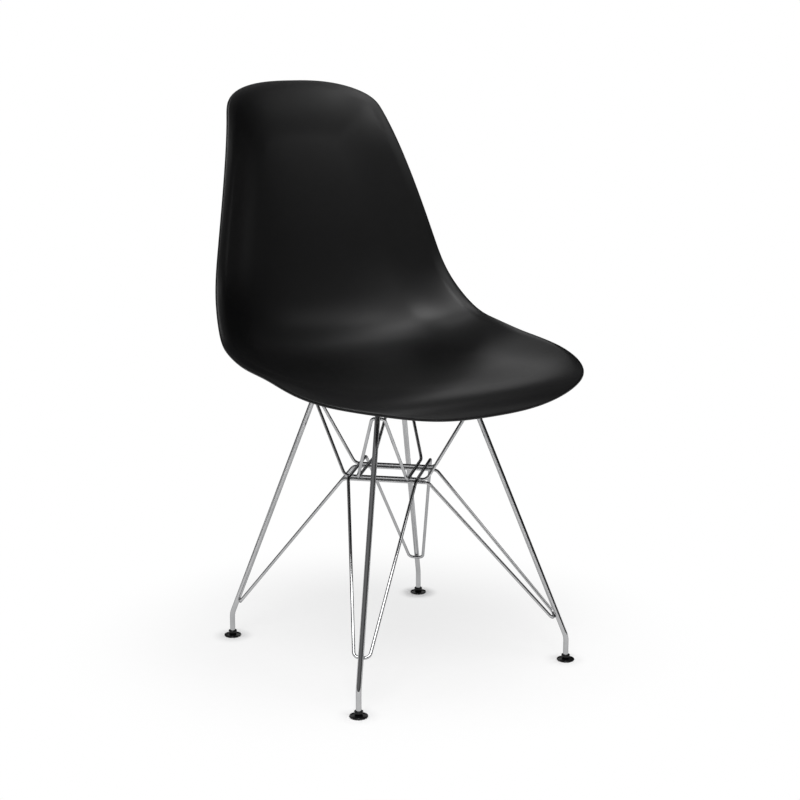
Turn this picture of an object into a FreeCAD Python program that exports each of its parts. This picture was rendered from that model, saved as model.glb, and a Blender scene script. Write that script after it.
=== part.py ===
import FreeCAD, Part
import math
import os

from FreeCAD import Base, Vector

# A side chair: one moulded plastic shell on a base of bent steel rod and wire.
# Millimetres, Z up. The sitter faces -Y, so the sitter's right is -X.
# Depths are measured from the middle of the base, heights from the floor.

# Shell
seat_height = 403.0          # lowest point of the sitting surface
seat_width = 469.4           # across the side rims, at the middle of the wall
seat_front = 215.0           # front lip ahead of the base
lip_drop = 11.5              # edge of the front lip under the lowest point
crest_rise = 15.0            # crest behind the front lip over the lowest point
side_rise = 43.5             # side rims over the lowest point
hip_back = 215.0             # end of the hip curve behind the base
hip_rise = 96.5              # end of the hip curve over the lowest point
hip_inset = 33.0             # rim at the hip inside the widest point
back_reach = 289.0           # top edge of the back behind the base
back_height = 406.0          # top edge of the back over the lowest point
back_top_width = 232.0       # across the top of the back, corners squared off
shell_wall = 5.0
section_squareness = 0.35    # 0 gives a parabola across the shell, more gives a flatter middle
front_corner_length = 163.0  # rounding of the front corners, along the shell
front_corner_power = 2.9
top_corner_length = 47.0     # rounding of the top corners, along the shell
top_corner_power = 2.9
trim_margin = 3.0            # surface left over outside the rim

# Fixings between shell and base
mount_drop = 16.0            # faces of the bosses under the lowest point of the seat
boss_diameter = 30.0
insert_diameter = 9.0
insert_length = 10.0
insert_fit = 0.02
bolt_diameter = 6.0
bolt_reach = 9.0             # thread inside the insert
bolt_head_width = 10.0
bolt_head_height = 4.0
bolt_clearance = 0.3         # bolt in washers, tab and pad
thread_fit = 0.02
washer_diameter = 12.0
washer_thickness = 1.2
spring_washer_diameter = 11.0
spring_washer_thickness = 1.5
spring_washer_split = 1.2
shock_pad_diameter = 26.0
shock_pad_thickness = 3.0
tab_width = 20.0
tab_thickness = 3.0
tab_reach = 20.0             # from the leg's top to its bolt

# Legs
leg_diameter = 7.5
leg_bend_height = 35.0
leg_bend_radius = 30.0
front_foot_spread = 176.3    # feet and leg tops: sideways from the middle, and in depth
front_foot_depth = -161.3
front_top_spread = 77.2
front_top_depth = -60.8
rear_foot_spread = 168.4
rear_foot_depth = 193.2
rear_top_spread = 71.7
rear_top_depth = 102.7

# Wire loops, crossing in a square under the seat
wire_diameter = 4.5
wire_box_depth = 24.0        # middle of the square
wire_box_height = 260.2      # axis of the lowest bars
wire_stack_gap = 0.05        # between bars that lie along each other
weld_bite = 0.1              # crossing wires and legs melt into each other
upper_bar_spacing = 70.0
upper_bar_length = 117.0
lower_bar_length = 122.0
outer_bar_spacing = 96.0     # lower loop that lies outside the upper one
bar_bend_radius = 11.0
upper_hairpin_drop = 15.0    # first loop's hairpins under the tabs; the second lies a layer higher
upper_hairpin_width = 17.0
upper_hairpin_radius = 6.5
lower_front_hairpin = 67.0   # heights of the first loop; the second lies two layers higher
lower_rear_hairpin = 58.0
lower_hairpin_width = 21.0
lower_hairpin_radius = 8.0

# Foot glides: a sleeve with a ball turns on the rod, a pad tilts on the ball
glide_height = 8.6
sleeve_diameter = 12.2
sleeve_bottom = 4.9
sleeve_floor = 0.8
sleeve_edge = 0.5
sleeve_fit = 0.05            # rod in sleeve, all round and at the end
ball_diameter = 5.2
ball_height = 3.3
ball_fit = 0.06
ball_neck_diameter = 4.0
pad_diameter = 25.0
pad_edge_height = 2.0
pad_foot_chamfer = 0.6
pad_crown_height = 4.2
pad_crown_diameter = 6.8


def between(start, end, share):
    """A value part of the way from start to end."""
    return start + (end - start) * share


def shell_stations():
    """Centre line (y, z) and rim (x, y, z) of the shell, from the front lip to the top edge."""
    half = seat_width / 2
    top_inset = (seat_width - back_top_width) / 2
    back_rise = back_height - hip_rise
    back_run = back_reach - hip_back
    rows = [
        (-seat_front, -lip_drop, 0.016 * seat_width, -0.884 * seat_front, -0.04 * lip_drop),
        (-0.944 * seat_front, 0.333 * crest_rise, 0.0085 * seat_width,
         -0.819 * seat_front, 0.567 * crest_rise),
        (-0.767 * seat_front, crest_rise, 0.002 * seat_width, -0.651 * seat_front, 1.267 * crest_rise),
        (-0.284 * seat_front, 0.57 * crest_rise, 0.002 * seat_width, -0.209 * seat_front, 0.828 * side_rise),
        (0.279 * hip_back, 0.0, 0.002 * seat_width, 0.13 * hip_back, side_rise),
        (0.651 * hip_back, 0.078 * hip_rise, 0.212 * hip_inset, 0.363 * hip_back,
         between(side_rise, hip_rise, 0.18)),
        (0.884 * hip_back, 0.409 * hip_rise, 0.515 * hip_inset, 0.535 * hip_back,
         between(side_rise, hip_rise, 0.453)),
        (hip_back, hip_rise, hip_inset, 0.721 * hip_back, 1.124 * hip_rise),
        (hip_back + 0.25 * back_run, hip_rise + 0.26 * back_rise, between(hip_inset, top_inset, 0.21),
         0.835 * hip_back, hip_rise + 0.25 * back_rise),
        (hip_back + 0.545 * back_run, hip_rise + 0.617 * back_rise, between(hip_inset, top_inset, 0.568),
         0.977 * hip_back, hip_rise + 0.617 * back_rise),
        (back_reach, back_height, top_inset, 0.941 * back_reach, 0.988 * back_height),
    ]
    lowest = seat_height - shell_wall / 2
    centre = [Vector(0, y, lowest + rise) for y, rise, _, _, _ in rows]
    rim = [Vector(half - inset, y, lowest + rise) for _, _, inset, y, rise in rows]
    return centre, rim


def spline(points, parameters):
    """A smooth curve through points at given parameters."""
    curve = Part.BSplineCurve()
    curve.interpolate(Points=points, Parameters=parameters)
    return curve


class ShellForm:
    """Middle of the shell's wall: u runs along the centre line, v across it, both in millimetres."""

    def __init__(self):
        centre, rim = shell_stations()
        self.stations = [0.0]
        for first, second in zip(centre, centre[1:]):
            self.stations.append(self.stations[-1] + (second - first).Length)
        self.length = self.stations[-1]
        self.half = seat_width / 2
        self.centre = spline(centre, self.stations)
        self.rim = spline(rim, self.stations)

    def point(self, u, v):
        share = v / self.half
        middle = self.centre.value(u)
        edge = self.rim.value(u)
        lift = (1 - section_squareness) * share ** 2 + section_squareness * share ** 4
        return Vector(edge.x * share, between(middle.y, edge.y, lift), between(middle.z, edge.z, lift))

    def normal(self, u, v):
        """Unit vector towards the sitter."""
        step = 0.5
        along = self.point(min(u + step, self.length), v) - self.point(max(u - step, 0.0), v)
        across = self.point(u, v + step) - self.point(u, v - step)
        return across.cross(along).normalize()

    def surface(self, offset):
        """Smooth surface at an offset from the middle of the wall, towards the sitter."""
        reach = self.half + 3 * trim_margin
        us = [self.length * row / 40 for row in range(41)]
        vs = [reach * (column / 8 - 1) for column in range(17)]
        across = [spline([self.point(u, v) + self.normal(u, v) * offset for v in vs], vs) for u in us]
        across_poles = [curve.getPoles() for curve in across]
        along = [spline(list(line), us) for line in zip(*across_poles)]
        poles = [list(line) for line in zip(*[curve.getPoles() for curve in along])]
        result = Part.BSplineSurface()
        result.buildFromPolesMultsKnots(
            poles, along[0].getMultiplicities(), across[0].getMultiplicities(),
            along[0].getKnots(), across[0].getKnots(), False, False, 3, 3)
        return result

    def outline(self):
        """Rim of the shell as curves in u and v, with rounded corners at the front and the top."""
        def corner(edge, length, power, facing):
            points = []
            for step in range(9):
                turn = math.pi / 2 * step / 8
                u = edge + facing * length * (1 - math.cos(turn) ** (2 / power))
                points.append((u, self.half * math.sin(turn) ** (2 / power)))
            return points

        def curve(points, first, last):
            result = Part.Geom2d.BSplineCurve2d()
            result.interpolate(Points=[Base.Vector2d(*point) for point in points],
                               InitialTangent=Base.Vector2d(*first), FinalTangent=Base.Vector2d(*last))
            return result

        def reversed_curve(points, first, last):
            result = curve(points, first, last)
            result.reverse()
            return result

        def side(start, end, v):
            cuts = [between(start, end, share) for share in (0, 0.25, 0.5, 0.75, 1)]
            return [Part.Geom2d.Line2dSegment(Base.Vector2d(a, v), Base.Vector2d(b, v))
                    for a, b in zip(cuts, cuts[1:])]

        front = corner(trim_margin, front_corner_length, front_corner_power, 1)
        top = corner(self.length - trim_margin, top_corner_length, top_corner_power, -1)
        front_mirrored = [(u, -v) for u, v in front]
        top_mirrored = [(u, -v) for u, v in top]
        side_start, side_end = front[-1][0], top[-1][0]
        return (
            [curve(front, (0, 1), (1, 0))]
            + side(side_start, side_end, self.half)
            + [reversed_curve(top, (0, 1), (-1, 0)), curve(top_mirrored, (0, -1), (-1, 0))]
            + side(side_end, side_start, -self.half)
            + [reversed_curve(front_mirrored, (0, -1), (1, 0))]
        )

    def solid(self):
        """Shell of even wall between the sitting surface and the underside."""
        outline = self.outline()

        def trimmed(surface):
            face = Part.Face(surface, Part.Wire([curve.toShape(surface) for curve in outline]))
            face.validate()
            return face

        inner = trimmed(self.surface(shell_wall / 2))
        outer = trimmed(self.surface(-shell_wall / 2))
        band = [Part.makeRuledSurface(a, b).Faces[0] for a, b in zip(inner.Edges, outer.Edges)]
        skin = Part.makeShell([inner, outer] + band)
        skin.sewShape(0.01)
        return Part.makeSolid(skin.Shells[0])

    def room_above(self):
        """Space over the middle of the wall in the seat, to end the bosses inside the wall."""
        seat = self.surface(0)
        patch = seat.toShape(self.stations[1], self.stations[6], -self.half / 2, self.half / 2)
        return patch.extrude(Vector(0, 0, seat_height))


def bent_rod(points, bend_radii, diameter, closed=False):
    """Round rod along straight runs joined by tangent arcs."""
    count = len(points)
    pieces = []
    bend_ends = {}
    for index in range(count) if closed else range(1, count - 1):
        corner = points[index]
        radius = bend_radii[index]
        into = (corner - points[index - 1]).normalize()
        out = (points[(index + 1) % count] - corner).normalize()
        turn = into.getAngle(out)
        setback = radius * math.tan(turn / 2)
        start = corner - into * setback
        axis = into.cross(out).normalize()
        section = Part.Face(Part.Wire([Part.makeCircle(diameter / 2, start, into)]))
        pieces.append(section.revolve(start + axis.cross(into) * radius, axis, math.degrees(turn)))
        bend_ends[index] = (start, corner + out * setback)
    for index in range(count if closed else count - 1):
        after = (index + 1) % count
        start = bend_ends[index][1] if index in bend_ends else points[index]
        end = bend_ends[after][0] if after in bend_ends else points[after]
        pieces.append(Part.makeCylinder(diameter / 2, (end - start).Length, start, end - start))
    return pieces[0].multiFuse(pieces[1:]).Solids[0]


def disc(diameter, height, x, y, z):
    return Part.makeCylinder(diameter / 2, height, Vector(x, y, z))


def ring(outer, bore, height, x, y, z):
    return disc(outer, height, x, y, z).cut(disc(bore, height, x, y, z))


class Leg:
    """One corner of the base: where its leg stands, leans and is bolted."""

    def __init__(self, front, side):
        self.front = front
        self.name = ("front" if front else "rear") + ("_right" if side < 0 else "_left")
        spread = front_foot_spread if front else rear_foot_spread
        top_spread = front_top_spread if front else rear_top_spread
        self.foot = Vector(side * spread, front_foot_depth if front else rear_foot_depth, 0)
        self.top = Vector(side * top_spread, front_top_depth if front else rear_top_depth, tab_underside)
        self.knee = Vector(self.foot.x, self.foot.y, leg_bend_height)
        inward = Vector(-self.top.x, wire_box_depth - self.top.y, 0).normalize()
        self.bolt = self.top + inward * tab_reach
        self.slope = (self.top - self.knee).normalize()

    def seat_of_hairpin(self, height):
        """Point where a wire at this height touches the inner side of the leg, and its sideways direction."""
        axis = self.knee + self.slope * ((height - leg_bend_height) / self.slope.z)
        inward = Vector(-axis.x, wire_box_depth - axis.y, 0)
        inward = (inward - self.slope * inward.dot(self.slope)).normalize()
        sideways = self.slope.cross(inward).normalize()
        touch = (leg_diameter + wire_diameter) / 2 - weld_bite
        return axis + inward * touch, sideways

    def rod(self):
        rod_end = sleeve_bottom + sleeve_floor + sleeve_fit
        over = self.top + self.slope * leg_diameter
        start = Vector(self.foot.x, self.foot.y, rod_end)
        rod = bent_rod([start, self.knee, over], [0, leg_bend_radius, 0], leg_diameter)
        lid = Part.makeBox(8 * leg_diameter, 8 * leg_diameter, 4 * leg_diameter)
        lid.translate(Vector(self.top.x - 4 * leg_diameter, self.top.y - 4 * leg_diameter, tab_underside))
        return rod.cut(lid)

    def tab(self):
        """Steel plate from the leg's top to the bolt, with round ends."""
        run = self.bolt - self.top
        across = Vector(-run.y, run.x, 0).normalize() * (tab_width / 2)
        corners = [self.top + across, self.bolt + across, self.bolt - across, self.top - across]
        bar = Part.Face(Part.makePolygon(corners + corners[:1])).extrude(Vector(0, 0, tab_thickness))
        outer_end = disc(tab_width, tab_thickness, *self.top)
        inner_end = disc(tab_width, tab_thickness, *self.bolt)
        hole = disc(bolt_diameter + 2 * bolt_clearance, tab_thickness, *self.bolt)
        return bar.fuse(outer_end).fuse(inner_end).removeSplitter().cut(hole)

    def shock_pad(self):
        hole = bolt_diameter + 2 * bolt_clearance
        return ring(shock_pad_diameter, hole, shock_pad_thickness, self.bolt.x, self.bolt.y,
                    tab_underside + tab_thickness)

    def boss(self, room_above):
        pillar = disc(boss_diameter, seat_height, self.bolt.x, self.bolt.y, mount_face)
        return pillar.cut(room_above)

    def insert_hole(self):
        return disc(insert_diameter + 2 * insert_fit, insert_length, self.bolt.x, self.bolt.y, mount_face)

    def insert(self):
        return ring(insert_diameter, bolt_diameter + 2 * thread_fit, insert_length,
                    self.bolt.x, self.bolt.y, mount_face)

    def flat_washer(self):
        return ring(washer_diameter, bolt_diameter + 2 * bolt_clearance, washer_thickness,
                    self.bolt.x, self.bolt.y, tab_underside - washer_thickness)

    def spring_washer(self):
        bottom = tab_underside - washer_thickness - spring_washer_thickness
        coil = ring(spring_washer_diameter, bolt_diameter + 2 * bolt_clearance, spring_washer_thickness,
                    self.bolt.x, self.bolt.y, bottom)
        split = Part.makeBox(spring_washer_diameter, spring_washer_split, spring_washer_thickness,
                             Vector(self.bolt.x, self.bolt.y - spring_washer_split / 2, bottom))
        return coil.cut(split)

    def bolt_solid(self):
        head_top = tab_underside - washer_thickness - spring_washer_thickness
        corner = bolt_head_width / math.sqrt(3)
        points = []
        for step in range(7):
            turn = math.pi / 3 * step
            points.append(self.bolt + Vector(corner * math.cos(turn), corner * math.sin(turn), 0))
        outline = Part.Face(Part.makePolygon(points))
        outline.translate(Vector(0, 0, head_top - bolt_head_height - tab_underside))
        head = outline.extrude(Vector(0, 0, bolt_head_height))
        shank = disc(bolt_diameter, mount_face + bolt_reach - head_top, self.bolt.x, self.bolt.y, head_top)
        return head.fuse(shank)

    def sleeve(self):
        x, y = self.foot.x, self.foot.y
        collar = disc(sleeve_diameter, glide_height - sleeve_bottom, x, y, sleeve_bottom)
        collar = collar.makeChamfer(sleeve_edge, [collar.Edges[0]])
        bore = disc(leg_diameter + 2 * sleeve_fit, glide_height, x, y, sleeve_bottom + sleeve_floor)
        neck = disc(ball_neck_diameter, sleeve_bottom - ball_height, x, y, ball_height)
        ball = Part.makeSphere(ball_diameter / 2, Vector(x, y, ball_height))
        return collar.fuse(neck).fuse(ball).cut(bore)

    def pad(self):
        """Domed foot disc with a socket for the ball."""
        rim = pad_diameter / 2
        crown = pad_crown_diameter / 2
        shoulder = Vector(between(rim, crown, 0.5), 0, between(pad_edge_height, pad_crown_height, 0.72))
        outline = [
            Part.LineSegment(Vector(0, 0, 0), Vector(rim - pad_foot_chamfer, 0, 0)),
            Part.LineSegment(Vector(rim - pad_foot_chamfer, 0, 0), Vector(rim, 0, pad_foot_chamfer)),
            Part.LineSegment(Vector(rim, 0, pad_foot_chamfer), Vector(rim, 0, pad_edge_height)),
            Part.Arc(Vector(rim, 0, pad_edge_height), shoulder, Vector(crown, 0, pad_crown_height)),
            Part.LineSegment(Vector(crown, 0, pad_crown_height), Vector(0, 0, pad_crown_height)),
            Part.LineSegment(Vector(0, 0, pad_crown_height), Vector(0, 0, 0)),
        ]
        face = Part.Face(Part.Wire([piece.toShape() for piece in outline]))
        body = face.revolve(Vector(0, 0, 0), Vector(0, 0, 1), 360)
        socket = Part.makeSphere(ball_diameter / 2 + ball_fit, Vector(0, 0, ball_height))
        body = body.cut(socket)
        body.translate(self.foot)
        return body


def wire_loop(near_leg, far_leg, bars, layer_height, hairpins):
    """Closed wire: two parallel bars through the square, and a hairpin on each of two opposite legs."""
    spacing, bar_length = bars
    width, radius = hairpins["width"], hairpins["radius"]
    middle = Vector(0, wire_box_depth, layer_height)
    along = Vector(math.copysign(1, far_leg.foot.x), math.copysign(1, far_leg.foot.y), 0).normalize()
    across = Vector(-along.y, along.x, 0)
    points = []
    for leg, end in ((near_leg, -1), (far_leg, 1)):
        lift = layer_height - hairpins["layer"]
        seat, sideways = leg.seat_of_hairpin(hairpins["front" if leg.front else "rear"] + lift)
        if sideways.dot(across) < 0:
            sideways = sideways * -1
        bar_end = middle + along * (end * bar_length / 2)
        half_bar = across * (spacing / 2)
        half_pin = sideways * (width / 2)
        side = [bar_end + half_bar, seat + half_pin, seat - half_pin, bar_end - half_bar]
        points += side if end < 0 else side[::-1]
    radii = [bar_bend_radius, radius, radius, bar_bend_radius] * 2
    return bent_rod(points, radii, wire_diameter, closed=True)


mount_face = seat_height - mount_drop
tab_underside = mount_face - shock_pad_thickness - tab_thickness
legs = [Leg(front, side) for front in (True, False) for side in (-1, 1)]
leg_at = {leg.name: leg for leg in legs}

form = ShellForm()
room_above = form.room_above()
seat_shell = form.solid()
for leg in legs:
    seat_shell = seat_shell.fuse(leg.boss(room_above))
for leg in legs:
    seat_shell = seat_shell.cut(leg.insert_hole())

nodes = {"seat_shell": seat_shell}
for leg in legs:
    nodes["threaded_insert_" + leg.name] = leg.insert()
    nodes["shock_pad_" + leg.name] = leg.shock_pad()
    nodes["mounting_tab_" + leg.name] = leg.tab()
    nodes["flat_washer_" + leg.name] = leg.flat_washer()
    nodes["spring_washer_" + leg.name] = leg.spring_washer()
    nodes["mounting_bolt_" + leg.name] = leg.bolt_solid()
    nodes["leg_rod_" + leg.name] = leg.rod()
    nodes["glide_sleeve_" + leg.name] = leg.sleeve()
    nodes["glide_pad_" + leg.name] = leg.pad()

second_layer = wire_box_height + wire_diameter + wire_stack_gap
third_layer = second_layer + wire_diameter - weld_bite
first_pair = (leg_at["rear_right"], leg_at["front_left"])
second_pair = (leg_at["front_right"], leg_at["rear_left"])
upper_bars = (upper_bar_spacing, upper_bar_length)
upper_hairpin_height = tab_underside - upper_hairpin_drop
upper_hairpins = {"front": upper_hairpin_height, "rear": upper_hairpin_height, "layer": second_layer,
                  "width": upper_hairpin_width, "radius": upper_hairpin_radius}
lower_hairpins = {"front": lower_front_hairpin, "rear": lower_rear_hairpin, "layer": wire_box_height,
                  "width": lower_hairpin_width, "radius": lower_hairpin_radius}
nodes["lower_wire_loop_1"] = wire_loop(*first_pair, (upper_bar_spacing, lower_bar_length),
                                       wire_box_height, lower_hairpins)
nodes["upper_wire_loop_1"] = wire_loop(*first_pair, upper_bars, second_layer, upper_hairpins)
nodes["upper_wire_loop_2"] = wire_loop(*second_pair, upper_bars, third_layer, upper_hairpins)
nodes["lower_wire_loop_2"] = wire_loop(*second_pair, (outer_bar_spacing, lower_bar_length),
                                       third_layer, lower_hairpins)

# The origin moves to the floor under the middle of the outline
box = seat_shell.optimalBoundingBox()
shift = Vector(0, -(box.YMin + box.YMax) / 2, 0)
os.makedirs("parts", exist_ok=True)
for name, solid in nodes.items():
    solid.translate(shift)
    solid.exportStep("parts/" + name + ".step")
print("shift in depth:", round(shift.y, 4))
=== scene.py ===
import math

import bmesh
import bpy
import numpy as np
from mathutils import Matrix, Vector
from mathutils.bvhtree import BVHTree
from mathutils.kdtree import KDTree


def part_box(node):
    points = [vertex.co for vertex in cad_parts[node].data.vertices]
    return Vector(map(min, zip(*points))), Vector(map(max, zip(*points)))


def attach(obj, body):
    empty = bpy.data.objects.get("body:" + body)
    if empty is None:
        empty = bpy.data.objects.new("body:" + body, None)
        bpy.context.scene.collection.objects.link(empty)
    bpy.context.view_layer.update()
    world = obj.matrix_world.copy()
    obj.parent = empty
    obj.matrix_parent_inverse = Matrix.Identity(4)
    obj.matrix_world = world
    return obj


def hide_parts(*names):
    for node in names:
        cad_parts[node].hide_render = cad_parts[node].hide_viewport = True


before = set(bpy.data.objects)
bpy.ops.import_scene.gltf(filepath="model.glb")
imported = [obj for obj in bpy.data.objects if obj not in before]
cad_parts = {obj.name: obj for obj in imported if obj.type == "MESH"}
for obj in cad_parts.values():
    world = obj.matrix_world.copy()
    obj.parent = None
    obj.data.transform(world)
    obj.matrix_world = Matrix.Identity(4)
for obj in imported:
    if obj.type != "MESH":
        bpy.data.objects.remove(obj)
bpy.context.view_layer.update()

# Leg rods: four lengths of bright drawn steel rod, bent once above the foot so that the end stands
# upright on the floor. They are welded to the tabs and to the wire loops, then chromed with them.
corners = ("front_right", "front_left", "rear_right", "rear_left")
leg_thickness = 0.0075
leg_start = 0.0058
leg_bend_height = 0.035
leg_bend_radius = 0.030
leg_top_spread = {"front": 0.0772, "rear": 0.0717}
leg_top_depth = {"front": -0.0608, "rear": 0.1027}
front_foot_depth = 0.1613
tab_underside = 0.381
degrees_per_step = 5
foot_of = {}
for corner in corners:
    pad_low, pad_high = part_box("glide_pad_" + corner)
    foot_of[corner] = Vector(((pad_low.x + pad_high.x) / 2, (pad_low.y + pad_high.y) / 2, 0))
base_depth = foot_of["front_right"].y + front_foot_depth


class Tone:
    """A value on its way through a finish: sums on it add Math nodes, and node() adds any other node."""

    def __init__(self, tree, socket=None):
        self.tree = tree
        self.socket = socket

    def node(self, kind, sockets=None, out=0, stops=None, **settings):
        made = self.tree.nodes.new(kind)
        for name, value in settings.items():
            setattr(made, name, value)
        if stops:
            ramp = made.color_ramp.elements
            while len(ramp) < len(stops):
                ramp.new(1.0)
            for element, (place, colour) in zip(ramp, stops):
                element.position = place
                element.color = (*colour, 1)
        for name, value in (sockets or {}).items():
            if isinstance(value, Tone):
                self.tree.links.new(made.inputs[name], value.socket)
            else:
                made.inputs[name].default_value = value
        return Tone(self.tree, made.outputs[out])

    def to(self, socket):
        self.tree.links.new(socket, self.socket)

    def __add__(self, other):
        return self.node("ShaderNodeMath", {0: self, 1: other}, operation="ADD")

    __radd__ = __add__

    def __mul__(self, other):
        return self.node("ShaderNodeMath", {0: self, 1: other}, operation="MULTIPLY")

    __rmul__ = __mul__


def new_finish(name):
    """A new material with its surface shader, a Tone to mix it with, and the places on its pieces."""
    material = bpy.data.materials.new(name)
    material.use_nodes = True
    mix = Tone(material.node_tree)
    place = mix.node("ShaderNodeTexCoord", out="Object")
    return material, material.node_tree.nodes["Principled BSDF"], mix, place


def bent_line(knees, bend_radii, closed=False):
    """Points along straight runs joined by round bends, close enough together to look round."""
    count = len(knees)
    line = []
    for index, knee in enumerate(knees):
        if not closed and index in (0, count - 1):
            line.append(knee)
            continue
        into = (knee - knees[index - 1]).normalized()
        out = (knees[(index + 1) % count] - knee).normalized()
        turn = into.angle(out)
        axis = into.cross(out).normalized()
        start = knee - into * bend_radii[index] * math.tan(turn / 2)
        centre = start + axis.cross(into) * bend_radii[index]
        steps = max(4, round(math.degrees(turn) / degrees_per_step))
        for step in range(steps + 1):
            line.append(centre + Matrix.Rotation(turn * step / steps, 3, axis) @ (start - centre))
    return line


def put_up(name, mesh):
    """Puts a mesh into the scene as a smooth piece."""
    for face in mesh.polygons:
        face.use_smooth = True
    piece = bpy.data.objects.new(name, mesh)
    bpy.context.scene.collection.objects.link(piece)
    return piece


def bent_rod(name, line, thickness, closed=False):
    """Round rod or wire along a line."""
    curve = bpy.data.curves.new(name, "CURVE")
    curve.dimensions = "3D"
    curve.bevel_depth = thickness / 2
    curve.bevel_resolution = 7
    curve.use_fill_caps = True
    spline = curve.splines.new("POLY")
    spline.points.add(len(line) - 1)
    for point, place in zip(spline.points, line):
        point.co = (*place, 1)
    spline.use_cyclic_u = closed
    path = bpy.data.objects.new(name, curve)
    mesh = bpy.data.meshes.new_from_object(path)
    bpy.data.objects.remove(path)
    mesh.name = name
    return put_up(name, mesh)


chrome, plating, mix, place = new_finish("bright_chrome")
haze = mix.node("ShaderNodeTexNoise", {"Vector": place, "Scale": 38.0, "Detail": 5.0, "Roughness": 0.6})
drawing = mix.node("ShaderNodeTexNoise", {"Vector": place, "Scale": 900.0, "Detail": 2.0})
specks = mix.node("ShaderNodeTexVoronoi", {"Vector": place, "Scale": 420.0})
pits = mix.node("ShaderNodeMapRange", {"Value": specks, "From Min": 0.03, "From Max": 0.10,
                                       "To Min": 1.0, "To Max": 0.0}, clamp=True)
tint = mix.node("ShaderNodeValToRGB", {"Fac": haze},
                stops=[(0.30, (0.41, 0.415, 0.42)), (0.72, (0.49, 0.49, 0.495))])
tint.to(plating.inputs["Base Color"])
(0.06 + haze * 0.05 + pits * 0.03).to(plating.inputs["Roughness"])
plating.inputs["Metallic"].default_value = 1.0
plating.inputs["Specular Tint"].default_value = (0.35, 0.35, 0.36, 1)
ripple = mix.node("ShaderNodeBump", {"Height": drawing, "Strength": 0.015, "Distance": 0.0004})
ripple.to(plating.inputs["Normal"])

leg_line = {}
for corner in corners:
    end, side = corner.split("_")
    outward = -1 if side == "right" else 1
    foot = foot_of[corner]
    knee = Vector((foot.x, foot.y, leg_bend_height))
    top = Vector((outward * leg_top_spread[end], leg_top_depth[end] + base_depth, tab_underside))
    leg_line[corner] = (knee, top)
    line = bent_line([Vector((foot.x, foot.y, leg_start)), knee, top], [0, leg_bend_radius, 0])
    leg = bent_rod("leg_" + corner, line, leg_thickness)
    leg.data.materials.append(chrome)
    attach(leg, "frame")
    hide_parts("leg_rod_" + corner)

# Wire loops: four closed loops of thinner chromed wire. Each has two straight bars that cross the others in
# a square under the seat, and a hairpin at each end that is welded to the inner side of a leg. In one
# direction the lower loop's bars lie under the upper's, in the other they lie outside them.
wire_thickness = 0.0045
wire_bite = 0.0001
wire_bend_radius = 0.011
wire_square_depth = base_depth + 0.024
bottom_layer, middle_layer, top_layer = 0.2602, 0.26475, 0.26915
inner_spacing, outer_spacing = 0.070, 0.096
lower_form = {"layer": bottom_layer, "bar": 0.122,
              "front": 0.067, "rear": 0.058, "width": 0.021, "bend": 0.008}
upper_form = {"layer": middle_layer, "bar": 0.117,
              "front": 0.366, "rear": 0.366, "width": 0.017, "bend": 0.0065}
weld_seats = []


def hairpin_seat(corner, height):
    """Where a wire at this height touches the inner side of a leg, and the direction across the hairpin."""
    knee, top = leg_line[corner]
    slope = (top - knee).normalized()
    axis = knee + slope * ((height - knee.z) / slope.z)
    inward = Vector((-axis.x, wire_square_depth - axis.y, 0))
    inward = (inward - slope * inward.dot(slope)).normalized()
    seat = axis + inward * ((leg_thickness + wire_thickness) / 2 - wire_bite)
    return seat, slope.cross(inward).normalized()


def wire_loop(name, pair, layer, spacing, form):
    """Closed loop from a right leg to a left one, through the square at one layer.

    A form gives the layer that its hairpins are set out for, the length of its bars,
    and the front height, rear height, width and bend of its hairpins.
    """
    across_square = Vector((1, 1 if "rear" in pair[1] else -1, 0)).normalized()
    sideways_square = Vector((-across_square.y, across_square.x, 0))
    middle = Vector((0, wire_square_depth, layer))
    lift = layer - form["layer"]
    half_bar = sideways_square * (spacing / 2)
    knees = []
    for corner, end in zip(pair, (-1, 1)):
        seat, sideways = hairpin_seat(corner, form[corner.split("_")[0]] + lift)
        if sideways.dot(sideways_square) < 0:
            sideways = -sideways
        weld_seats.append((seat, sideways, leg_line[corner]))
        bar_end = middle + across_square * (end * form["bar"] / 2)
        half_pin = sideways * (form["width"] / 2)
        run = [bar_end + half_bar, seat + half_pin, seat - half_pin, bar_end - half_bar]
        knees += run if end < 0 else run[::-1]
    bend_radii = [wire_bend_radius, form["bend"], form["bend"], wire_bend_radius] * 2
    line = bent_line(knees, bend_radii, closed=True)
    loop = bent_rod(name.replace("wire_loop", "loop"), line, wire_thickness, closed=True)
    loop.data.materials.append(chrome)
    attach(loop, "frame")
    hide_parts(name)


first_pair = ("rear_right", "front_left")
second_pair = ("front_right", "rear_left")
wire_loop("lower_wire_loop_1", first_pair, bottom_layer, inner_spacing, lower_form)
wire_loop("upper_wire_loop_1", first_pair, middle_layer, inner_spacing, upper_form)
wire_loop("upper_wire_loop_2", second_pair, top_layer, inner_spacing, upper_form)
wire_loop("lower_wire_loop_2", second_pair, top_layer, outer_spacing, lower_form)

# Welds: a small bead on each side of every hairpin where it meets its leg, and a spot of melted steel in
# the corners where wires cross. They are plated over with the rest of the base, so only their form shows.
bead_length = 0.0042
bead_thickness = 0.0021
bead_depth = 0.0021
bead_offset = 0.0019
beads = bmesh.new()


def weld_bead(place, along, across):
    """Flat drop of steel, longest along one direction."""
    along = along.normalized()
    across = (across - along * across.dot(along)).normalized()
    turn = Matrix((along, across, along.cross(across))).transposed().to_4x4()
    size = Matrix.Diagonal((bead_length, bead_thickness, bead_thickness, 1))
    drop = Matrix.Translation(place) @ turn @ size
    bmesh.ops.create_icosphere(beads, subdivisions=3, radius=0.5, matrix=drop)


def formed(name, shape):
    """Puts a finished shape into the scene as a smooth piece."""
    mesh = bpy.data.meshes.new(name)
    shape.to_mesh(mesh)
    shape.free()
    return put_up(name, mesh)


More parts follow.
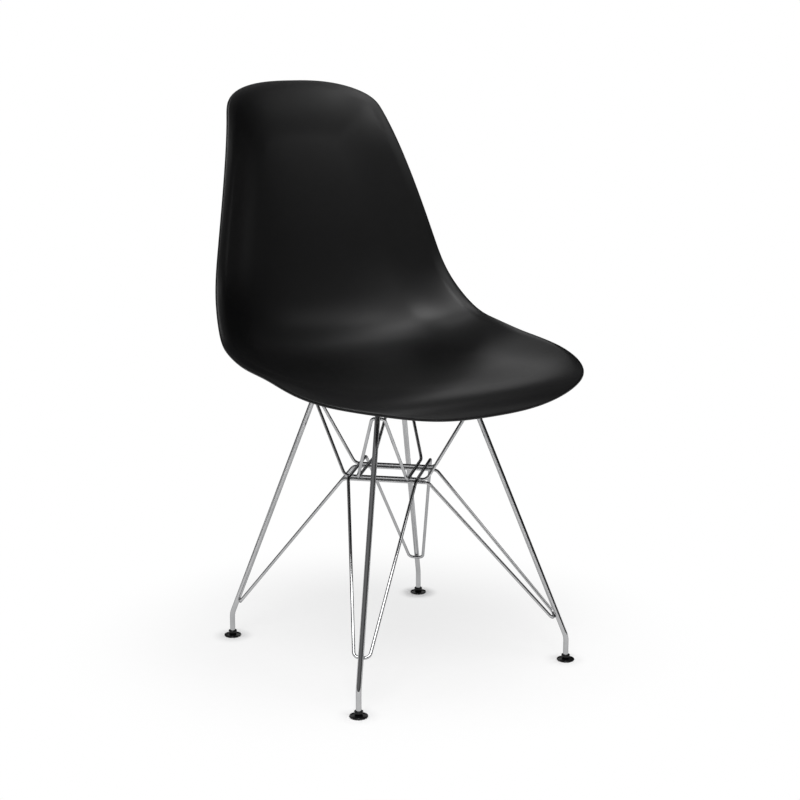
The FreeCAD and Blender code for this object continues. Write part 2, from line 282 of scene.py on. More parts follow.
for seat, sideways, (knee, top) in weld_seats:
    slope = (top - knee).normalized()
    towards_leg = sideways.cross(slope)
    axis = knee + slope * ((seat.z - knee.z) / slope.z)
    if towards_leg.dot(axis - seat) < 0:
        towards_leg = -towards_leg
    for way in (-1, 1):
        weld_bead(seat + towards_leg * bead_depth + slope * (way * bead_offset), sideways, slope)
square_along = Vector((1, 1, 0)).normalized()
square_across = Vector((-1, 1, 0)).normalized()
square_middle = Vector((0, wire_square_depth, (middle_layer + top_layer) / 2))
for spacing in (inner_spacing, outer_spacing):
    for one in (-1, 1):
        for other in (-1, 1):
            crossing = square_middle + square_along * (one * inner_spacing / 2)
            crossing += square_across * (other * spacing / 2)
            for way in (square_along + square_across, square_along - square_across):
                weld_bead(crossing, way, Vector((0, 0, 1)))
welds = formed("weld_beads", beads)
welds.data.materials.append(chrome)
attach(welds, "frame")

# Mounting tabs: flat steel plates with round ends, punched with one bolt hole and welded to the top of
# each leg. Their edges are tumbled round before plating.
tab_width = 0.020
tab_thickness = 0.003
tab_edge = 0.0006
tab_steps = 48
bolt_hole = 0.0066
bolt_of = {}
for corner in corners:
    head_low, head_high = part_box("mounting_bolt_" + corner)
    bolt_of[corner] = Vector(((head_low.x + head_high.x) / 2, (head_low.y + head_high.y) / 2, tab_underside))


def ring_walls(shape, rings):
    """Joins each ring of points to the next one with a wall of faces."""
    for lower, upper in zip(rings, rings[1:]):
        for step in range(len(lower)):
            after = (step + 1) % len(lower)
            shape.faces.new((lower[step], lower[after], upper[after], upper[step]))


def soften_edges(piece, width, segments=3):
    """Rounds the sharp edges of a piece."""
    edge = piece.modifiers.new("edges", "BEVEL")
    edge.width = width
    edge.segments = segments
    edge.limit_method = "ANGLE"
    edge.angle_limit = math.radians(35)
    edge.harden_normals = True


for corner in corners:
    top = leg_line[corner][1]
    bolt = bolt_of[corner]
    run = (bolt - top).normalized()
    heading = math.atan2(run.y, run.x)
    plate = bmesh.new()
    outlines = []
    for height in (tab_underside, tab_underside + tab_thickness):
        outer, hole = [], []
        for step in range(tab_steps):
            turn = 2 * math.pi * (step + 0.5) / tab_steps
            end = bolt if math.cos(turn) > 0 else top
            ray = Vector((math.cos(turn + heading), math.sin(turn + heading), 0))
            for edge, middle, width in ((outer, end, tab_width), (hole, bolt, bolt_hole)):
                spot = middle + ray * (width / 2)
                edge.append(plate.verts.new((spot.x, spot.y, height)))
        outlines.append((outer, hole))
    (low_outer, low_hole), (high_outer, high_hole) = outlines
    ring_walls(plate, [low_outer, high_outer, high_hole, low_hole, low_outer])
    tab = formed("tab_" + corner, plate)
    soften_edges(tab, tab_edge)
    tab.data.materials.append(chrome)
    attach(tab, "frame")
    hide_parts("mounting_tab_" + corner)

# Glide sleeves: short black nylon collars pushed over the rod ends, where they turn freely. A ball on a
# thin neck under each one snaps into the foot pad.
ball_radius = 0.0026
ball_height = 0.0033
neck_radius = 0.0020
collar_radius = 0.0061
collar_bottom = 0.0050
collar_middle = 0.0068
collar_top = 0.0086
collar_foot_round = 0.0005
collar_top_round = 0.0008
rod_bore = 0.0038
rod_bore_floor = 0.0057
rod_bore_lip = (0.0004, 0.0003)


def ring_of(shape, centre, height, reaches):
    """Points at even steps round an upright axis, each at its own distance from it."""
    ring = []
    for step, reach in enumerate(reaches):
        turn = 2 * math.pi * step / len(reaches)
        ring.append(shape.verts.new((centre.x + reach * math.cos(turn),
                                     centre.y + reach * math.sin(turn), height)))
    return ring


def turned(name, outline, centre, steps=72):
    """Piece turned about an upright axis from a closed outline of (radius, height)."""
    shape = bmesh.new()
    rings = []
    for radius, height in outline:
        rings.append(ring_of(shape, centre, centre.z + height, [radius] * (steps if radius > 0 else 1)))
    for lower, upper in zip(rings, rings[1:] + rings[:1]):
        for step in range(steps):
            after = (step + 1) % steps
            face = [lower[step % len(lower)], lower[after % len(lower)],
                    upper[after % len(upper)], upper[step % len(upper)]]
            face = list(dict.fromkeys(face))
            if len(face) > 2:
                shape.faces.new(face)
    bmesh.ops.recalc_face_normals(shape, faces=shape.faces)
    return formed(name, shape)


def arc(middle, radius, start, end, steps):
    """Points of (radius, height) round a corner of an outline, angles in degrees."""
    turns = [math.radians(start + (end - start) * step / steps) for step in range(steps + 1)]
    return [(middle[0] + radius * math.cos(turn), middle[1] + radius * math.sin(turn)) for turn in turns]


nylon, moulding, mix, place = new_finish("glide_nylon")
mottle = mix.node("ShaderNodeTexNoise", {"Vector": place, "Scale": 260.0, "Detail": 4.0})
grain = mix.node("ShaderNodeTexNoise", {"Vector": place, "Scale": 3200.0, "Detail": 3.0})
blackness = mix.node("ShaderNodeValToRGB", {"Fac": mottle},
                     stops=[(0.35, (0.002, 0.002, 0.0022)), (0.7, (0.005, 0.005, 0.0054))])
blackness.to(moulding.inputs["Base Color"])
(0.10 + mottle * 0.08 + grain * 0.04).to(moulding.inputs["Roughness"])
orange_peel = mix.node("ShaderNodeBump", {"Height": grain + mottle, "Strength": 0.06, "Distance": 0.0003})
orange_peel.to(moulding.inputs["Normal"])
moulding.inputs["Specular IOR Level"].default_value = 0.25

sleeve_outline = [
    (0, ball_height - ball_radius),
    *arc((0, ball_height), ball_radius, -80, 40, 10),
    (neck_radius, collar_bottom),
    *arc((collar_radius - collar_foot_round, collar_bottom + collar_foot_round),
         collar_foot_round, -90, 0, 4),
    (collar_radius, collar_middle),
    *arc((collar_radius - collar_top_round, collar_top - collar_top_round), collar_top_round, 0, 90, 6),
    (rod_bore + rod_bore_lip[0], collar_top),
    (rod_bore, collar_top - rod_bore_lip[1]),
    (rod_bore, rod_bore_floor),
    (0, rod_bore_floor),
]
for corner in corners:
    sleeve = turned("sleeve_" + corner, sleeve_outline, foot_of[corner])
    sleeve.data.materials.append(nylon)
    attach(sleeve, "sleeve_" + corner)
    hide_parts("glide_sleeve_" + corner)

# Foot pads: black nylon discs with a low dome, a raised collar round the ball socket and a flat foot.
# They tilt on the ball so that the whole face meets the floor.
sole_radius = 0.0112
sole_round = 0.0011
brim_middle = (0.0117, 0.0014)
brim_round = 0.0008
dome_line = [(0.0098, 0.0026), (0.0078, 0.0031), (0.0060, 0.0034), (0.0050, 0.0035), (0.0046, 0.0037)]
crown_middle = (0.0040, 0.0038)
crown_round = 0.0004
socket_mouth = 0.0031
socket_clearance = 0.00006
pad_outline = [
    (0, 0),
    (sole_radius, 0),
    *arc((sole_radius, sole_round), sole_round, -90, -30, 3),
    *arc(brim_middle, brim_round, -20, 80, 6),
    *dome_line,
    *arc(crown_middle, crown_round, 20, 90, 4),
    (socket_mouth, crown_middle[1] + crown_round),
    *arc((0, ball_height), ball_radius + socket_clearance, 12, -88, 10),
]
for corner in corners:
    pad = turned("foot_pad_" + corner, pad_outline, foot_of[corner])
    pad.data.materials.append(nylon)
    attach(pad, "pad_" + corner)
    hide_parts("glide_pad_" + corner)

# Seat shell: one moulding of black polypropylene, seat, hips and back in a single sweep. The wall is even,
# the rim is rolled outwards and rounded, and the front edge rolls down under the thighs.
seat_height = 0.403
seat_width = 0.4694
seat_front = 0.215
lip_drop = 0.0115
crest_rise = 0.015
side_rise = 0.0435
hip_back = 0.215
hip_rise = 0.0965
hip_inset = 0.033
back_reach = 0.289
back_height = 0.406
back_top_width = 0.232
shell_wall = 0.005
shell_margin = 0.003
squareness = 0.35
front_rounding, front_power = 0.163, 2.9
top_rounding, top_power = 0.047, 2.9
rim_round = 0.0022
rim_flange = 0.006
rim_bend = 0.008
rim_slopes = (0.80, 0.42)
rim_fade = 0.070
roll_from_front = 0.03
roll_growth = 0.12
roll_left_at_top = 0.35
across_count, front_count, body_count, top_count = 81, 61, 171, 31
edge_pull = 0.4
rim_parts = 4
rim_facets = 8


def between(start, end, share):
    """A value part of the way from start to end."""
    return start + (end - start) * share


def eased(share):
    """Share from 0 to 1 with a soft start and a soft end."""
    share = np.clip(share, 0, 1)
    return share ** 2 * (3 - 2 * share)


shell_half = seat_width / 2
shell_lowest = seat_height - shell_wall / 2
top_inset = (seat_width - back_top_width) / 2
back_rise = back_height - hip_rise
back_run = back_reach - hip_back
shell_rows = np.array([
    # centre depth, centre rise, rim inset, rim depth, rim rise
    (-seat_front, -lip_drop, 0.016 * seat_width, -0.884 * seat_front, -0.04 * lip_drop),
    (-0.944 * seat_front, 0.333 * crest_rise, 0.0085 * seat_width, -0.819 * seat_front, 0.567 * crest_rise),
    (-0.767 * seat_front, crest_rise, 0.002 * seat_width, -0.651 * seat_front, 1.267 * crest_rise),
    (-0.284 * seat_front, 0.57 * crest_rise, 0.002 * seat_width, -0.209 * seat_front, 0.828 * side_rise),
    (0.279 * hip_back, 0, 0.002 * seat_width, 0.13 * hip_back, side_rise),
    (0.651 * hip_back, 0.078 * hip_rise, 0.212 * hip_inset, 0.363 * hip_back,
     between(side_rise, hip_rise, 0.18)),
    (0.884 * hip_back, 0.409 * hip_rise, 0.515 * hip_inset, 0.535 * hip_back,
     between(side_rise, hip_rise, 0.453)),
    (hip_back, hip_rise, hip_inset, 0.721 * hip_back, 1.124 * hip_rise),
    (hip_back + 0.25 * back_run, hip_rise + 0.26 * back_rise, between(hip_inset, top_inset, 0.21),
     0.835 * hip_back, hip_rise + 0.25 * back_rise),
    (hip_back + 0.545 * back_run, hip_rise + 0.617 * back_rise, between(hip_inset, top_inset, 0.568),
     0.977 * hip_back, hip_rise + 0.617 * back_rise),
    (back_reach, back_height, top_inset, 0.941 * back_reach, 0.988 * back_height),
])


def smooth_line(marks, values):
    """Curve of even bending through values at marks, as a function of the distance along the shell."""
    gaps = np.diff(marks)
    slants = np.diff(values, axis=0) / gaps[:, None]
    count = len(marks)
    system = np.zeros((count, count))
    wanted = np.zeros_like(values)
    for end, near in ((0, slice(0, 4)), (-1, slice(-4, None))):
        system[end, end] = 1
        wanted[end] = np.polyfit(marks[near] - marks[end], values[near], 3)[2]
    for index in range(1, count - 1):
        before, after = gaps[index - 1], gaps[index]
        system[index, index - 1:index + 2] = (after, 2 * (before + after), before)
        wanted[index] = 3 * (after * slants[index - 1] + before * slants[index])
    slopes = np.linalg.solve(system, wanted)

    def at(u):
        span = np.clip(np.searchsorted(marks, u) - 1, 0, count - 2)
        gap = gaps[span][..., None]
        t = (u - marks[span])[..., None] / gap
        return (values[span] * (1 + 2 * t) * (1 - t) ** 2 + values[span + 1] * t ** 2 * (3 - 2 * t)
                + gap * (slopes[span] * t * (1 - t) ** 2 - slopes[span + 1] * t ** 2 * (1 - t)))
    return at


centre_points = np.column_stack([shell_rows[:, 0] + base_depth, shell_lowest + shell_rows[:, 1]])
rim_points = np.column_stack([shell_half - shell_rows[:, 2], shell_rows[:, 3] + base_depth,
                              shell_lowest + shell_rows[:, 4]])
marks = np.concatenate([[0], np.cumsum(np.hypot(*np.diff(centre_points, axis=0).T))])
centre_line = smooth_line(marks, centre_points)
rim_line = smooth_line(marks, rim_points)


def shell_middle(u, v):
    """Middle of the wall, u along the shell and v across it."""
    share = v / shell_half
    lift = ((1 - squareness) * share ** 2 + squareness * share ** 4)[..., None]
    middle, rim = centre_line(u), rim_line(u)
    sideways = (rim[..., 0] * share)[..., None]
    return np.concatenate([sideways, between(middle, rim[..., 1:], lift)], axis=-1)


def shell_plan(along, across):
    """Turns an even grid, -1 to 1 across and -1 to 2 along, into u and v inside the rounded outline."""
    inset = rim_round / 2
    front_edge = shell_margin + inset
    top_edge = marks[-1] - shell_margin - inset
    half = shell_half - inset
    front = np.clip(-along, 0, 1)
    top = np.clip(along - 1, 0, 1)
    body = np.clip(along, 0, 1)
    u_front, u_top = front_edge + front_rounding, top_edge - top_rounding
    reach = np.where(front > 0, front, top)
    power = np.where(front > 0, front_power, top_power)
    widest = np.maximum(reach, np.abs(across))
    scale = widest / np.maximum((reach ** power + np.abs(across) ** power) ** (1 / power), 1e-9)
    u = between(u_front, u_top, body) - front * scale * front_rounding + top * scale * top_rounding
    return u, half * across * np.where(reach > 0, scale, 1.0)


def closer_to_edge(t):
    """Even steps from 0 to 1, drawn a little towards 1."""
    return (1 - edge_pull) * t + edge_pull * np.sin(math.pi / 2 * t)


half_steps = closer_to_edge(np.linspace(0, 1, across_count))
across_steps = np.concatenate([-half_steps[:0:-1], half_steps])
along_steps = np.concatenate([
    -closer_to_edge(np.linspace(1, 0, front_count))[:-1], np.linspace(0, 1, body_count)[:-1],
    1 + closer_to_edge(np.linspace(0, 1, top_count)),
])
along_grid, across_grid = np.meshgrid(along_steps, across_steps, indexing="ij")
u_grid, v_grid = shell_plan(along_grid, across_grid)
middle_grid = shell_middle(u_grid, v_grid)
row_count, column_count = along_grid.shape


def grid_normals(grid):
    """Unit vectors towards the sitter."""
    normals = np.cross(np.gradient(grid, axis=1), np.gradient(grid, axis=0))
    return normals / np.linalg.norm(normals, axis=-1, keepdims=True)


def rim_order():
    """Grid places round the rim: front, left side, top, right side."""
    last_row, last_column = row_count - 1, column_count - 1
    return ([(0, column) for column in range(last_column)] + [(row, last_column) for row in range(last_row)]
            + [(last_row, column) for column in range(last_column, 0, -1)]
            + [(row, 0) for row in range(last_row, 0, -1)])


rim_places = rim_order()
rim_rows, rim_columns = np.array(rim_places).T
rim_loop = middle_grid[rim_rows, rim_columns]
next_on_rim = np.roll(rim_loop, -1, axis=0)
fine_rim = np.concatenate([between(rim_loop, next_on_rim, part / rim_parts) for part in range(rim_parts)])
rim_tree = KDTree(len(fine_rim))
for index, point in enumerate(fine_rim):
    rim_tree.insert(point, index)
rim_tree.balance()
from_rim = np.array([rim_tree.find(point)[2] for point in middle_grid.reshape(-1, 3)])
from_rim = from_rim.reshape(row_count, column_count)
flange = np.minimum(from_rim, rim_flange)
bend = np.clip(from_rim - rim_flange, 0, rim_bend)
roll = rim_slopes[0] * flange - (rim_slopes[0] - rim_slopes[1]) * flange ** 2 / (2 * rim_flange)
roll += rim_slopes[1] * (bend - bend ** 2 / (2 * rim_bend))
roll *= 1 - eased((from_rim - rim_flange - rim_bend) / rim_fade)
roll *= eased((u_grid - roll_from_front) / roll_growth)
roll *= between(roll_left_at_top, 1, eased((marks[-1] - u_grid) / roll_growth))
middle_grid = middle_grid + grid_normals(middle_grid) * roll[..., None]

towards_sitter = grid_normals(middle_grid)
inner_grid = middle_grid + towards_sitter * shell_wall / 2
outer_grid = middle_grid - towards_sitter * shell_wall / 2
rim_loop = middle_grid[rim_rows, rim_columns]
rim_normal = towards_sitter[rim_rows, rim_columns]
rim_run = np.roll(rim_loop, -1, axis=0) - np.roll(rim_loop, 1, axis=0)
rim_out = np.cross(rim_run, rim_normal)
rim_out /= np.linalg.norm(rim_out, axis=1, keepdims=True)
grid_size = row_count * column_count
rim_turns = [math.pi * step / rim_facets for step in range(1, rim_facets)]
shell_points = [inner_grid.reshape(-1, 3), outer_grid.reshape(-1, 3)]
for turn in rim_turns:
    across_wall = rim_normal * (shell_wall / 2 * math.cos(turn))
    shell_points.append(rim_loop + across_wall + rim_out * (rim_round * math.sin(turn)))
shell_points = np.concatenate(shell_points)
shell_faces = []
for row in range(row_count - 1):
    for column in range(column_count - 1):
        first = row * column_count + column
        quad = (first, first + 1, first + column_count + 1, first + column_count)
        shell_faces.append(quad)
        shell_faces.append(tuple(grid_size + index for index in reversed(quad)))
inner_edge = [row * column_count + column for row, column in rim_places]
edges = [inner_edge]
for step in range(len(rim_turns)):
    edges.append([2 * grid_size + step * len(rim_places) + index for index in range(len(rim_places))])
edges.append([grid_size + index for index in inner_edge])
for upper, lower in zip(edges, edges[1:]):
    for index in range(len(rim_places)):
        before = index - 1
        shell_faces.append((upper[before], lower[before], lower[index], upper[index]))
shell_mesh = bpy.data.meshes.new("moulded_shell")
shell_mesh.from_pydata(shell_points.tolist(), [], shell_faces)
shell = put_up("moulded_shell", shell_mesh)

polypropylene, skin, mix, place = new_finish("black_polypropylene")
flow = mix.node("ShaderNodeTexNoise", {"Vector": place, "Scale": 4.5, "Detail": 4.0, "Distortion": 0.6})
grain = mix.node("ShaderNodeTexNoise", {"Vector": place, "Scale": 1500.0, "Detail": 3.0, "Roughness": 0.6})
leathering = mix.node("ShaderNodeTexVoronoi", {"Vector": place, "Scale": 900.0}, feature="SMOOTH_F1")
pigment = mix.node("ShaderNodeValToRGB", {"Fac": flow},
                   stops=[(0.30, (0.0012, 0.0012, 0.0013)), (0.72, (0.0022, 0.0022, 0.0024))])
pigment.to(skin.inputs["Base Color"])
(0.30 + flow * 0.05 + grain * 0.06).to(skin.inputs["Roughness"])
texture = mix.node("ShaderNodeBump", {"Height": grain + leathering * 0.6,
                                      "Strength": 0.10, "Distance": 0.0004})
texture.to(skin.inputs["Normal"])
skin.inputs["IOR"].default_value = 1.49
skin.inputs["Specular IOR Level"].default_value = 0.25
shell.data.materials.append(polypropylene)
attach(shell, "frame")
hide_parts("seat_shell")

# Bosses: four round stubs moulded under the seat, with a fillet where they grow out of the wall. Each holds
# a brass insert and meets a shock pad with its flat face.
boss_radius = 0.015
boss_edge = 0.0008
boss_steps = 64
insert_radius = 0.00455
mount_face = 0.387
below_seat = 0.3
# radius, and height over the flat face or over the underside of the seat
face_rings = [(insert_radius, 0), (boss_radius - boss_edge, 0), (boss_radius, boss_edge)]
fillet_rings = [(boss_radius, -0.0050), (0.0153, -0.0034), (0.0162, -0.0018),
                (0.0178, -0.0006), (0.0200, 0.0), (0.0215, 0.0012)]
underside = BVHTree.FromPolygons(shell_points.tolist(), shell_faces)
for corner in corners:
    bolt = bolt_of[corner]
    stub = bmesh.new()
    rings = [ring_of(stub, bolt, mount_face + rise, [radius] * boss_steps) for radius, rise in face_rings]
    for radius, rise in fillet_rings:
        ring = ring_of(stub, bolt, below_seat, [radius] * boss_steps)
        for point in ring:
            point.co.z = underside.ray_cast(point.co, Vector((0, 0, 1)))[0].z + rise
        rings.append(ring)
    ring_walls(stub, rings)
    bmesh.ops.recalc_face_normals(stub, faces=stub.faces)
    boss = formed("boss_" + corner, stub)
    boss.data.materials.append(polypropylene)
    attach(boss, "frame")

# Threaded inserts: short turned brass bushes, moulded into the bosses. They stay as the solids give them,
# in bare brass with a little tarnish.
brass, bush, mix, place = new_finish("turned_brass")
tarnish = mix.node("ShaderNodeTexNoise", {"Vector": place, "Scale": 300.0, "Detail": 5.0})
colour = mix.node("ShaderNodeValToRGB", {"Fac": tarnish},
                  stops=[(0.3, (0.50, 0.33, 0.12)), (0.7, (0.78, 0.58, 0.27))])
colour.to(bush.inputs["Base Color"])
(0.24 + tarnish * 0.2).to(bush.inputs["Roughness"])
bush.inputs["Metallic"].default_value = 1.0
for corner in corners:
    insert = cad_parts["threaded_insert_" + corner]
    insert.data.materials.clear()
    insert.data.materials.append(brass)

# Shock pads: thick rubber washers between shell and tabs, moulded with a bulging rim and a shallow groove.
# They take up the flex of the shell.
cushion_radius = 0.013
cushion_bore = 0.0034
cushion_thickness = 0.003
cushion_edge = 0.0006
cushion_groove = 0.0005
rubber, gum, mix, place = new_finish("shock_pad_rubber")
bloom = mix.node("ShaderNodeTexNoise", {"Vector": place, "Scale": 420.0, "Detail": 6.0})
colour = mix.node("ShaderNodeValToRGB", {"Fac": bloom},
                  stops=[(0.3, (0.010, 0.010, 0.010)), (0.75, (0.030, 0.029, 0.028))])
colour.to(gum.inputs["Base Color"])
(0.62 + bloom * 0.25).to(gum.inputs["Roughness"])
pores = mix.node("ShaderNodeBump", {"Height": bloom, "Strength": 0.25, "Distance": 0.0004})
pores.to(gum.inputs["Normal"])
rubber_outline = [
    (cushion_bore, 0),
    *arc((cushion_radius - cushion_edge, cushion_edge), cushion_edge, -90, 0, 4),
    (cushion_radius - cushion_groove, cushion_thickness / 2),
    *arc((cushion_radius - cushion_edge, cushion_thickness - cushion_edge), cushion_edge, 0, 90, 4),
    (cushion_bore, cushion_thickness),
]
for corner in corners:
    cushion = turned("rubber_pad_" + corner, rubber_outline, bolt_of[corner] + Vector((0, 0, tab_thickness)))
    cushion.data.materials.append(rubber)
    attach(cushion, "frame")
    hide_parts("shock_pad_" + corner)

# Washers and bolts: a plain washer, a split spring washer and a hexagon bolt under each tab, all of zinc
# plated steel. The bolt goes up through tab and shock pad into the insert.
zinc, plate_skin, mix, place = new_finish("zinc_plate")
spangle = mix.node("ShaderNodeTexNoise", {"Vector": place, "Scale": 700.0, "Detail": 5.0})
cloud = mix.node("ShaderNodeTexNoise", {"Vector": place, "Scale": 120.0, "Detail": 3.0})
colour = mix.node("ShaderNodeValToRGB", {"Fac": cloud},
                  stops=[(0.3, (0.46, 0.47, 0.50)), (0.7, (0.63, 0.64, 0.66))])
colour.to(plate_skin.inputs["Base Color"])
(0.22 + spangle * 0.2).to(plate_skin.inputs["Roughness"])
plate_skin.inputs["Metallic"].default_value = 1.0
tooling = mix.node("ShaderNodeBump", {"Height": spangle, "Strength": 0.12, "Distance": 0.0002})
tooling.to(plate_skin.inputs["Normal"])

fixing_bore = 0.0033
washer_radius = 0.0060
washer_thickness = 0.0012
washer_edge = 0.0003
washer_lip = 0.0002
washer_outline = [
    (fixing_bore, washer_lip),
    (fixing_bore + washer_lip, 0),
    *arc((washer_radius - washer_edge, washer_edge), washer_edge, -90, 0, 3),
    *arc((washer_radius - washer_edge, washer_thickness - washer_edge), washer_edge, 0, 90, 3),
    (fixing_bore + washer_lip, washer_thickness),
    (fixing_bore, washer_thickness - washer_lip),
]
spring_radius = 0.0055
spring_thickness = 0.0015
spring_split = math.radians(13)
spring_steps = 60
spring_edge = 0.0002
spring_top = tab_underside - washer_thickness
spring_bottom = spring_top - spring_thickness
spring_section = ((fixing_bore, spring_bottom), (spring_radius, spring_bottom),
                  (spring_radius, spring_top), (fixing_bore, spring_top))
bolt_radius = 0.0030
bolt_tip_radius = 0.0024
bolt_tip = 0.0006
bolt_reach = 0.009
head_across = 0.010
head_height = 0.004
head_steps = 48
head_edge = 0.00015
head_face_radius = 0.00485
head_chamfer = 0.0006
head_break = 0.0003
dish_radius = 0.00275
dish_rim_radius = 0.0031
dish_depth = 0.0003
head_top = spring_bottom
head_bottom = head_top - head_height
shank_top = mount_face + bolt_reach
hexagon = []
for step in range(head_steps):
    turn = 2 * math.pi * step / head_steps
    hexagon.append(head_across / 2 / math.cos(turn % (math.pi / 3) - math.pi / 6))
bolt_stages = [
    # distances from the axis, height
    ([dish_radius] * head_steps, head_bottom + dish_depth),
    ([dish_rim_radius] * head_steps, head_bottom),
    ([head_face_radius] * head_steps, head_bottom),
    (hexagon, head_bottom + head_chamfer),
    (hexagon, head_top - head_break),
    ([head_face_radius] * head_steps, head_top),
    ([bolt_radius] * head_steps, head_top),
    ([bolt_radius] * head_steps, shank_top - bolt_tip),
    ([bolt_tip_radius] * head_steps, shank_top),
]
for corner in corners:
    bolt = bolt_of[corner]
    washer = turned("washer_" + corner, washer_outline, bolt - Vector((0, 0, washer_thickness)))
    washer.data.materials.append(zinc)
    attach(washer, "frame")
    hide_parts("flat_washer_" + corner)

    coil = bmesh.new()
    sections = []
    for step in range(spring_steps + 1):
        turn = spring_split / 2 + (2 * math.pi - spring_split) * step / spring_steps
        section = []
        for radius, height in spring_section:
            section.append(coil.verts.new((bolt.x + radius * math.cos(turn),
                                           bolt.y + radius * math.sin(turn), height)))
        sections.append(section)
    ring_walls(coil, sections)
    coil.faces.new(sections[0])
    coil.faces.new(sections[-1][::-1])
    bmesh.ops.recalc_face_normals(coil, faces=coil.faces)
    spring = formed("spring_ring_" + corner, coil)
    soften_edges(spring, spring_edge, 2)
    spring.data.materials.append(zinc)
    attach(spring, "frame")
    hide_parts("spring_washer_" + corner)

    head = bmesh.new()
    rings = [ring_of(head, bolt, height, reaches) for reaches, height in bolt_stages]
    ring_walls(head, rings)
    head.faces.new(rings[0][::-1])
    head.faces.new(rings[-1])
    bmesh.ops.recalc_face_normals(head, faces=head.faces)
    fixing = formed("bolt_" + corner, head)
    soften_edges(fixing, head_edge, 2)
    fixing.data.materials.append(zinc)
    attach(fixing, "frame")
    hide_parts("mounting_bolt_" + corner)

# Studio floor: a plain pale board, painted matt, that the chair stands on. It keeps the soft shadow under
# the seat, and everywhere else it shows as a white ground. Round each foot the white is cut back, which
# paints a darker contact shade spot beside the feet on top of the floor's own shadow there. Chrome and
# plastic mirror that white only near the chair.
floor_half = 6.0
shadow_inner, shadow_outer = 0.20, 0.50
shadow_white = 0.75
# Painted contact shade round each foot: within these distances the white glow drops to this share.
foot_shade_inner, foot_shade_outer = 0.012, 0.034
foot_shade_white = 0.35
mirror_inner, mirror_outer = 0.4, 1.1
floor_mesh = bpy.data.meshes.new("studio_floor")
floor_mesh.from_pydata([(-floor_half, -floor_half, 0), (floor_half, -floor_half, 0),
                        (floor_half, floor_half, 0), (-floor_half, floor_half, 0)], [], [(0, 1, 2, 3)])
floor = put_up("studio_floor", floor_mesh)


def ray_kinds(mix):
    """Rays that the camera sends, and rays that metal, gloss or glass send on, each 1 or 0."""
    looked_at = mix.node("ShaderNodeLightPath", out="Is Camera Ray")
    shone_on = mix.node("ShaderNodeLightPath", out="Is Glossy Ray")
    passed_on = mix.node("ShaderNodeLightPath", out="Is Transmission Ray")
    return looked_at, shone_on + passed_on


board, paint, mix, place = new_finish("pale_board")
brushing = mix.node("ShaderNodeTexNoise", {"Vector": place, "Scale": 60.0, "Detail": 4.0})
colour = mix.node("ShaderNodeValToRGB", {"Fac": brushing},
                  stops=[(0.3, (0.90, 0.90, 0.90)), (0.7, (0.92, 0.92, 0.92))])
colour.to(paint.inputs["Base Color"])
paint.inputs["Roughness"].default_value = 0.9
paint.inputs["Specular IOR Level"].default_value = 0.0
from_middle = mix.node("ShaderNodeVectorMath", {0: place}, out="Value", operation="LENGTH")
away = mix.node("ShaderNodeMapRange", {"Value": from_middle, "From Min": shadow_inner,
                                       "From Max": shadow_outer, "To Min": shadow_white},
                clamp=True, interpolation_type="SMOOTHSTEP")
near = mix.node("ShaderNodeMapRange", {"Value": from_middle, "From Min": mirror_inner,
                                       "From Max": mirror_outer, "To Min": 1.0, "To Max": 0.0},
                clamp=True, interpolation_type="SMOOTHSTEP")
looked_at, mirrored = ray_kinds(mix)
whiteness = away * (looked_at + mirrored * near)
# Painted contact shade: the white glow is cut back near each foot, so the floor is darker there, partly its
# own shadow and partly painted.
for corner in corners:
    from_foot = mix.node("ShaderNodeVectorMath", {0: place, 1: foot_of[corner]}, out="Value",
                         operation="DISTANCE")
    painted_foot_shade = mix.node("ShaderNodeMapRange", {"Value": from_foot, "From Min": foot_shade_inner,
                                                  "From Max": foot_shade_outer, "To Min": foot_shade_white},
                           clamp=True, interpolation_type="SMOOTHSTEP")
    whiteness = whiteness * painted_foot_shade
glow = mix.node("ShaderNodeEmission", {"Color": (1, 1, 1, 1), "Strength": 1.0})
ground = mix.node("ShaderNodeMixShader", {0: whiteness, 1: Tone(board.node_tree, paint.outputs[0]), 2: glow})
ground.to(board.node_tree.nodes["Material Output"].inputs["Surface"])
floor.data.materials.append(board)

# Studio light: seven soft boxes hung round the chair, the strongest one high in front on the sitter's right
# and a weak, lower one behind it. The room round them is dim, a little lighter overhead, and the camera
# sees it as white.


def soft_box(name, place, aim, width, depth, brightness):
    """Lamp of an even brightness, turned towards a point."""
    lamp = bpy.data.lights.new(name, "AREA")
    lamp.shape = "RECTANGLE"
    lamp.size = width
    lamp.size_y = depth
    lamp.energy = brightness * math.pi * width * depth
    holder = bpy.data.objects.new(name, lamp)
    holder.location = place
    holder.rotation_euler = (Vector(place) - Vector(aim)).to_track_quat("Z", "Y").to_euler()
    bpy.context.scene.collection.objects.link(holder)


soft_box("key_box", (-1.1, -1.2, 2.45), (0.0, 0.1, 0.6), 1.3, 1.1, 9.0)
soft_box("top_box", (0.1, -0.6, 2.4), (0.0, 0.1, 0.45), 0.9, 0.7, 3.8)
soft_box("left_box", (-0.8, 0.25, 2.3), (-0.1, 0.1, 0.45), 0.8, 0.7, 3.3)
soft_box("right_box", (0.5, -0.1, 2.3), (0.1, 0.1, 0.45), 1.1, 0.6, 2.7)
soft_box("high_front_box", (0.6, -1.6, 2.45), (0.0, 0.1, 0.6), 0.9, 0.75, 4.3)
soft_box("front_box", (0.75, -2.1, 1.95), (0.0, 0.1, 0.6), 3.2, 0.75, 1.3)
soft_box("rear_box", (1.15, 1.9, 1.4), (0.0, -0.1, 0.42), 1.5, 0.9, 0.6)
brightest_way = (-0.35, -0.1, 0.93)
ground_haze = 0.016
room = bpy.data.worlds.new("studio_room")
bpy.context.scene.world = room
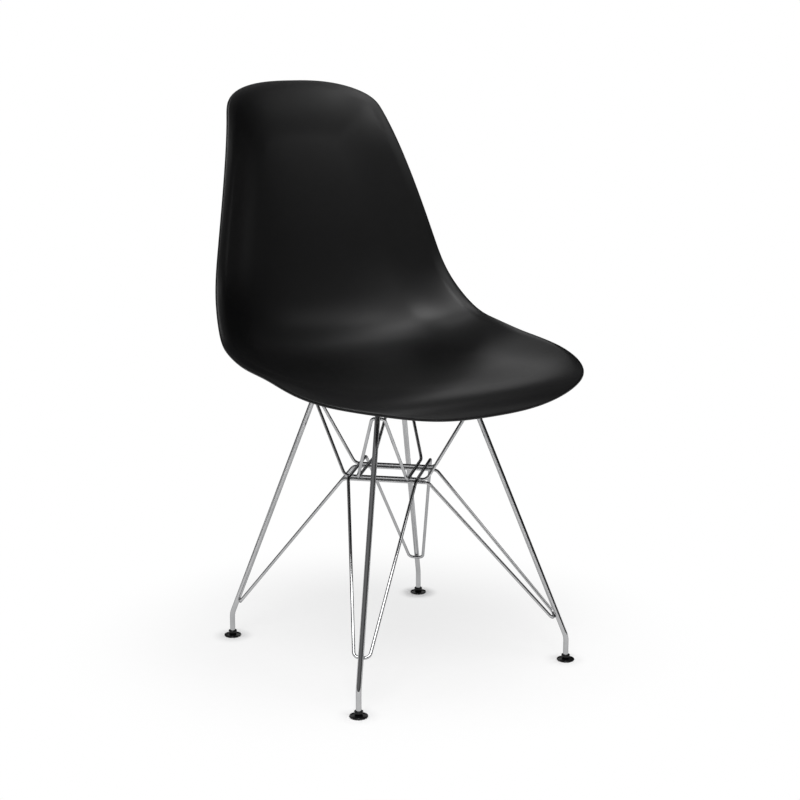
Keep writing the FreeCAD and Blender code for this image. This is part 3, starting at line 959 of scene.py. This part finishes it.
room.use_nodes = True
mix = Tone(room.node_tree)
facing = mix.node("ShaderNodeTexCoord", out="Generated")
towards_light = mix.node("ShaderNodeVectorMath", {0: facing, 1: brightest_way}, out="Value",
                         operation="DOT_PRODUCT")
wall = mix.node("ShaderNodeValToRGB", {"Fac": towards_light},
                stops=[(0.0, (0.01, 0.01, 0.01)), (0.10, (0.05, 0.05, 0.05)), (0.30, (0.12, 0.12, 0.121)),
                       (0.55, (0.21, 0.21, 0.212)), (0.80, (0.30, 0.30, 0.303)), (1.0, (0.4, 0.4, 0.4))])
around = mix.node("ShaderNodeBackground", {"Color": wall, "Strength": 1.0})
white = mix.node("ShaderNodeBackground", {"Color": (1, 1, 1, 1), "Strength": 1.0})
rise = mix.node("ShaderNodeSeparateXYZ", {0: facing}, out="Z")
ground_line = mix.node("ShaderNodeMapRange", {"Value": rise, "From Min": 0.0, "From Max": ground_haze,
                                              "To Min": 1.0, "To Max": 0.0}, clamp=True)
looked_at, mirrored = ray_kinds(mix)
ground = mix.node("ShaderNodeMixShader", {0: looked_at + mirrored * ground_line, 1: around, 2: white})
ground.to(room.node_tree.nodes["World Output"].inputs["Surface"])

# Camera: where the photograph was taken from, 2.3 m from the middle of the chair, in front of the sitter's
# right and 0.9 m above the floor. It has a short telephoto lens and looks down a little.
camera_distance = 2.30267
camera_turn, camera_tilt = math.radians(-34.5), math.radians(12.77)
target = Vector((0.00022, base_depth - 0.00002, 0.37303))
back = Vector((math.sin(camera_turn) * math.cos(camera_tilt),
               -math.cos(camera_turn) * math.cos(camera_tilt), math.sin(camera_tilt)))
camera = bpy.data.objects.new("camera", bpy.data.cameras.new("camera"))
camera.data.sensor_width = 36.0
camera.data.lens = 74.088
camera.data.clip_start = 0.05
camera.data.clip_end = 50.0
camera.location = target + back * camera_distance
camera.rotation_euler = back.to_track_quat("Z", "Y").to_euler()
bpy.context.scene.collection.objects.link(camera)
bpy.context.scene.camera = camera
bpy.context.scene.view_settings.view_transform = "Standard"
